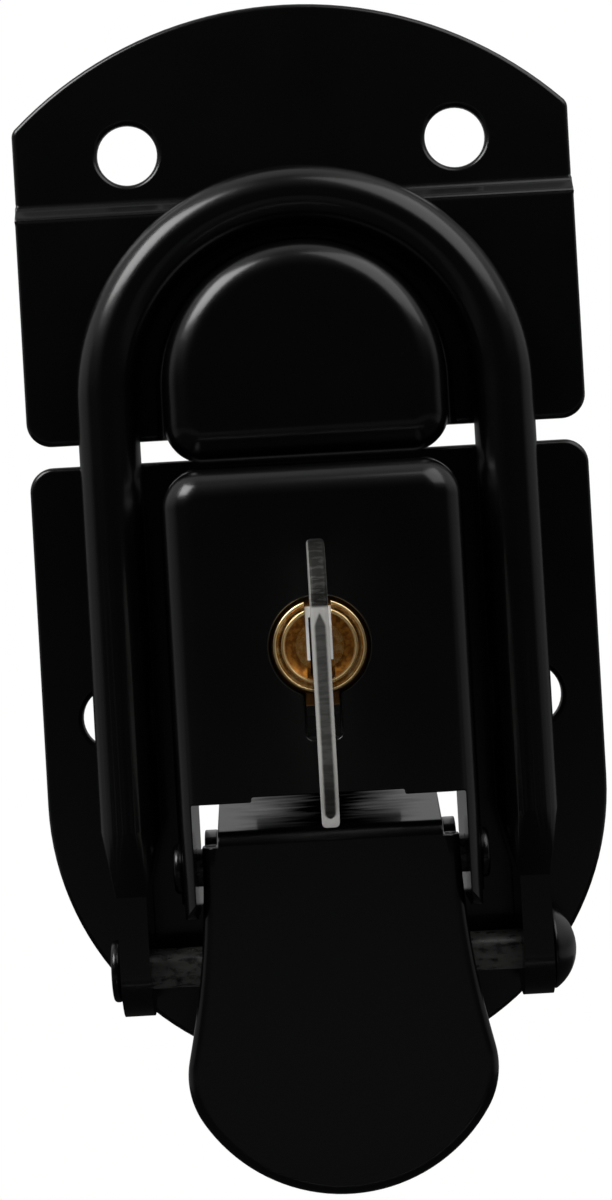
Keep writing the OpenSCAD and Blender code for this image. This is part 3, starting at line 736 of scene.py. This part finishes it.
@dataclass
class SubAssembly:
    """Some of the latch's nodes, each stood for by a copy with eased edges or dressed as it is."""

    frame: Dict[str, Any]
    pieces: List[bpy.types.Object] = field(default_factory=list)

    def body_of(self, node: str) -> str:
        """Name of the body that a node rides on."""
        return self.frame["nodes"][node]["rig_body"]

    def copy(self, node: str, name: str) -> bpy.types.Object:
        """Makes a merged copy of a node.

        Args:
            node: The node's name.
            name: The new piece's name.

        Returns:
            The new object, not yet riding on its body.
        """
        piece = bpy.data.objects.new(name, self.frame["nodes"][node].data.copy())
        bpy.context.scene.collection.objects.link(piece)
        Bench.merge(piece)
        return piece

    def settle(self, piece: bpy.types.Object, node: str, finish: Finish) -> None:
        """Puts a piece in a node's stead.

        Args:
            piece: The new piece.
            node: The node that it stands for.
            finish: Its finish.
        """
        piece.data.materials.clear()
        piece.data.materials.append(finish.material())
        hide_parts(node)
        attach(piece, self.body_of(node))
        self.pieces.append(piece)

    def eased(self, node: str, name: str, easing: Easing, finish: Finish) -> bpy.types.Object:
        """Stands a copy with eased edges in a node's stead.

        Args:
            node: The node's name.
            name: The new piece's name.
            easing: How its edges are rounded.
            finish: Its finish.

        Returns:
            The new piece.
        """
        piece = self.copy(node, name)
        Bench.ease(piece, easing)
        self.settle(piece, node, finish)
        return piece

    def dress(self, node: str, finish: Finish) -> None:
        """Gives a node that stays as it is its finish."""
        piece = self.frame["nodes"][node]
        piece.data.materials.clear()
        piece.data.materials.append(finish.material())
        self.pieces.append(piece)

    def build(self) -> None:
        """Builds and dresses the pieces."""
        raise NotImplementedError


@dataclass
class Pressings(SubAssembly):
    """The keeper and the lock body, pressed from sheet and painted."""

    edge: Easing = Easing(0.15 * MM)
    rim: float = 0.45 * MM
    rim_strips: int = 4
    rim_reach: float = 15.0 * MM
    plate_out: float = 2.0 * MM
    joggle: float = 0.4 * MM
    joggle_strips: int = 5
    joggle_least: float = 1.0 * MM
    joggle_turn: Tuple[float, float] = (40.0, 50.0)

    def joggle_edges(self, piece: bpy.types.Object) -> List[int]:
        """Edges across the keeper where its sheet steps out.

        Args:
            piece: The merged copy of the keeper.

        Returns:
            Their numbers.
        """
        chosen = []
        for number, (first, last), normals in Bench.edge_normals(piece):
            level = abs(first.y - last.y) + abs(first.z - last.z) < Bench.WELD
            if level and abs(first.x - last.x) > self.joggle_least:
                turn = math.degrees(normals[0].angle(normals[1]))
                if self.joggle_turn[0] < turn < self.joggle_turn[1]:
                    chosen.append(number)
        return chosen

    def rim_edges(self, piece: bpy.types.Object) -> List[int]:
        """Edges between the front of a plate and its outer rim.

        Args:
            piece: The merged copy of the pressing.

        Returns:
            Their numbers.
        """
        corners = [Vector(corner) for corner in piece.bound_box]
        middle = sum(corners, Vector()) / len(corners)
        chosen = []
        for number, ends, normals in Bench.edge_normals(piece):
            front, rim = sorted(normals, key=lambda normal: normal.y)
            outward = rim.dot(ends[0] - middle) > self.rim_reach and abs(rim.y) < Bench.SQUARE
            in_plate = all(end.y > -self.plate_out - Bench.NEAR for end in ends)
            if front.y < -Bench.FACING and outward and in_plate:
                chosen.append(number)
        return chosen

    def build(self) -> None:
        """Builds and dresses the pieces."""
        keeper = self.copy("keeper_plate", "keeper_pressing")
        Bench.round_edges(keeper, self.joggle_edges(keeper), self.joggle, self.joggle_strips)
        body = self.copy("lock_body", "body_pressing")
        for piece, node in ((keeper, "keeper_plate"), (body, "lock_body")):
            Bench.round_edges(piece, self.rim_edges(piece), self.rim, self.rim_strips)
            Bench.ease(piece, self.edge)
            self.settle(piece, node, Paintwork.BODY.value)


@dataclass
class ThumbLever(SubAssembly):
    """The lever with its rolled outline, and its pin."""

    edge: Easing = Easing(0.1 * MM, split=True)
    face_out: float = 12.0 * MM
    face_top: float = -10.1 * MM
    roll: float = 0.95 * MM
    roll_strips: int = 6
    rim_slope: float = 0.2
    pin_edge: Easing = Easing(0.35 * MM, 4)

    def outline_edges(self, piece: bpy.types.Object) -> List[int]:
        """Edges between the lever's face and its rim, apart from the two short ones beside the lip.

        Args:
            piece: The merged copy of the lever.

        Returns:
            Their numbers.
        """
        chosen = []
        for number, ends, normals in Bench.edge_normals(piece):
            in_face = all(abs(end.y + self.face_out) < Bench.NEAR for end in ends)
            in_face = in_face and min(end.z for end in ends) < self.face_top - Bench.NEAR
            turns = [abs(normal.y) for normal in normals]
            if in_face and min(turns) < self.rim_slope and max(turns) > Bench.FACING:
                chosen.append(number)
        return chosen

    def build(self) -> None:
        """Builds and dresses the pieces."""
        lever = self.copy("lever", "thumb_lever")
        Bench.round_edges(lever, self.outline_edges(lever), self.roll, self.roll_strips)
        Bench.ease(lever, self.edge)
        self.settle(lever, "lever", Paintwork.LEVER.value)
        self.eased("lever_pin", "pivot_rivet", self.pin_edge, Paintwork.LEVER_PIN.value)


@dataclass
class WireBail(SubAssembly):
    """The bail and its rivet."""

    rivet_edge: Easing = Easing(0.3 * MM, 4)

    def build(self) -> None:
        """Builds and dresses the pieces."""
        bail = self.copy("bail", "wire_bail")
        Bench.smooth(bail)
        self.settle(bail, "bail", Paintwork.BODY.value)
        self.eased("bail_pin", "bail_rivet", self.rivet_edge, Paintwork.BAIL_PIN.value)


@dataclass
class WaferLock(SubAssembly):
    """The lock's brass, its wafers and springs, and the bolt works behind it."""

    edge: Easing = Easing(0.05 * MM, 2, split=True)
    guide_edge: Easing = Easing(0.03 * MM, 2)
    works_edge: Easing = Easing(0.12 * MM, 2)
    wafers: int = 4

    def build(self) -> None:
        """Builds and dresses the pieces."""
        self.eased("lock_plug", "plug", self.edge, Paintwork.LOCK.value)
        self.eased("lock_shell", "shell", self.edge, Paintwork.SHELL.value)
        self.eased("key_guide", "keyway_guide", self.guide_edge, Paintwork.GUIDE.value)
        for number in range(1, self.wafers + 1):
            self.dress(f"wafer_{number}", Paintwork.LOCK.value)
            self.dress(f"wafer_spring_{number}", Paintwork.WORKS.value)
        for node, name in (("lock_strap", "strap"), ("lock_cam", "cam"), ("lock_bolt", "bolt")):
            self.eased(node, name, self.works_edge, Paintwork.WORKS.value)
        self.dress("cam_clip", Paintwork.WORKS.value)


@dataclass
class LatchKey(SubAssembly):
    """The key in the lock."""

    edge: Easing = Easing(0.3 * MM)

    def build(self) -> None:
        """Builds and dresses the pieces."""
        self.eased("key", "flat_key", self.edge, Paintwork.KEY.value)


@dataclass(frozen=True)
class Lamp:
    """A square soft light that points at the middle of the latch."""

    name: str
    place: Tuple[float, float, float]
    size: float
    watts: float

    def build(self, aim: Vector) -> None:
        """Adds the light.

        Args:
            aim: The point that it faces.
        """
        data = bpy.data.lights.new(self.name, "AREA")
        data.shape = "SQUARE"
        data.size = self.size
        data.energy = self.watts
        lamp = bpy.data.objects.new(self.name, data)
        bpy.context.scene.collection.objects.link(lamp)
        lamp.location = self.place
        lamp.rotation_euler = (aim - lamp.location).to_track_quat("-Z", "Y").to_euler()


@dataclass(frozen=True)
class Shot:
    """The photograph's camera, square to the plates and turned a little about its own axis."""

    frame_size: Tuple[float, float] = (612.0, 1200.0)
    axis_at: Tuple[float, float] = (306.0, 588.0)
    origin_at: Tuple[float, float] = (322.5, 706.0)
    pixels_per_mm: float = 12.05
    distance: float = 200.0 * MM
    plate_out: float = 1.0 * MM
    sensor: float = 36.0
    nearest: float = 10.0 * MM
    turn: float = -3.25

    def build(self) -> None:
        """Adds the camera and makes it the scene's own."""
        long_side = max(self.frame_size)
        data = bpy.data.cameras.new("photo_camera")
        data.sensor_width = self.sensor
        data.lens = self.pixels_per_mm * (self.distance / MM) / long_side * self.sensor
        data.shift_x = (self.frame_size[0] / 2 - self.axis_at[0]) / long_side
        data.shift_y = (self.axis_at[1] - self.frame_size[1] / 2) / long_side
        data.clip_start = self.nearest
        camera = bpy.data.objects.new("photo_camera", data)
        bpy.context.scene.collection.objects.link(camera)
        square_on = Matrix.Rotation(math.radians(90.0), 4, "X")
        upright = square_on @ Matrix.Rotation(math.radians(self.turn), 4, "Z")
        right = (self.axis_at[0] - self.origin_at[0]) / self.pixels_per_mm * MM
        up = (self.origin_at[1] - self.axis_at[1]) / self.pixels_per_mm * MM
        start = Vector((0.0, -self.plate_out, 0.0))
        stand = start + upright.to_3x3() @ Vector((right, up, self.distance))
        camera.matrix_world = Matrix.Translation(stand) @ upright
        bpy.context.scene.camera = camera


@dataclass
class Studio:
    """Floor, backdrop, soft lights and camera."""

    aim: Vector = field(default_factory=lambda: Vector((0.0, -0.005, 0.01)))
    lamps: Tuple[Lamp, ...] = (
        Lamp("left_softbox", (-0.270, -0.215, 0.362), 0.25, 1.4),
        Lamp("right_softbox", (0.245, -0.215, 0.379), 0.38, 0.75),
        Lamp("low_fill", (0.05, -0.28, -0.34), 0.30, 0.5),
    )
    floor_drop: float = 0.25
    floor_half: float = 0.7
    ambient: float = 0.55
    front_glow: float = 0.003
    low_glow: float = 0.08
    low_band: Tuple[float, float] = (-0.02, -0.15)
    high_glow: float = 0.004
    high_band: Tuple[float, float] = (0.1, 0.3)
    side_glow: float = 0.12
    side_band: Tuple[float, float] = (-0.45, -0.05)
    top_glow: float = 0.32
    top_band: Tuple[float, float] = (-0.1, 0.5)
    shot: Shot = Shot()

    def backdrop(self) -> None:
        """Makes the world white to the camera; gloss sees it dark in front, with a glow round it."""
        world = bpy.data.worlds.new("backdrop")
        world.use_nodes = True
        bpy.context.scene.world = world
        graph = Graph(world.node_tree)
        path = graph.add("ShaderNodeLightPath", {}, {}).socket.node
        camera, glossy, clear = (
            Wire(graph, path.outputs[f"Is {kind} Ray"]) for kind in ("Camera", "Glossy", "Transmission")
        )
        _, depth, height = graph.axes(graph.add("ShaderNodeTexCoord", {}, {}, "Generated"))
        front = self.front_glow + self.low_glow * height.rise(*self.low_band)
        front = front + self.high_glow * height.rise(*self.high_band)
        around = self.side_glow + self.top_glow * height.rise(*self.top_band)
        around = depth.rise(*self.side_band) * around
        plain = camera + clear
        strength = plain + glossy * (front + around) + (1.0 - plain - glossy) * self.ambient
        sky = graph.add("ShaderNodeBackground", {}, {"Color": WHITE, "Strength": strength})
        graph.add("ShaderNodeOutputWorld", {}, {"Surface": sky})

    def floor(self) -> None:
        """Adds the pale floor well below the latch."""
        bpy.ops.object.select_all(action="DESELECT")
        middle = (0.0, 0.0, -self.floor_drop)
        bpy.ops.mesh.primitive_plane_add(size=2 * self.floor_half, location=middle)
        floor = bpy.context.active_object
        floor.name = "studio_floor"
        bpy.ops.object.transform_apply(location=True, rotation=True, scale=True)
        floor.data.materials.append(PaleFloor("pale_floor", "").material())

    def build(self) -> None:
        """Sets up the studio."""
        bpy.context.scene.view_settings.view_transform = "Standard"
        self.backdrop()
        self.floor()
        for lamp in self.lamps:
            lamp.build(self.aim)
        self.shot.build()


def main() -> None:
    """Loads the frame, builds the studio and each sub-assembly, and reports every piece."""
    logging.basicConfig(level=logging.INFO, format="%(name)s: %(message)s")
    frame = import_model()
    Studio().build()
    for kind in (Pressings, ThumbLever, WireBail, WaferLock, LatchKey):
        assembly = kind(frame)
        assembly.build()
        for piece in assembly.pieces:
            LOG.info("%s: %s, %d faces", kind.__name__, piece.name, len(piece.data.polygons))


if __name__ == "__main__":
    main()
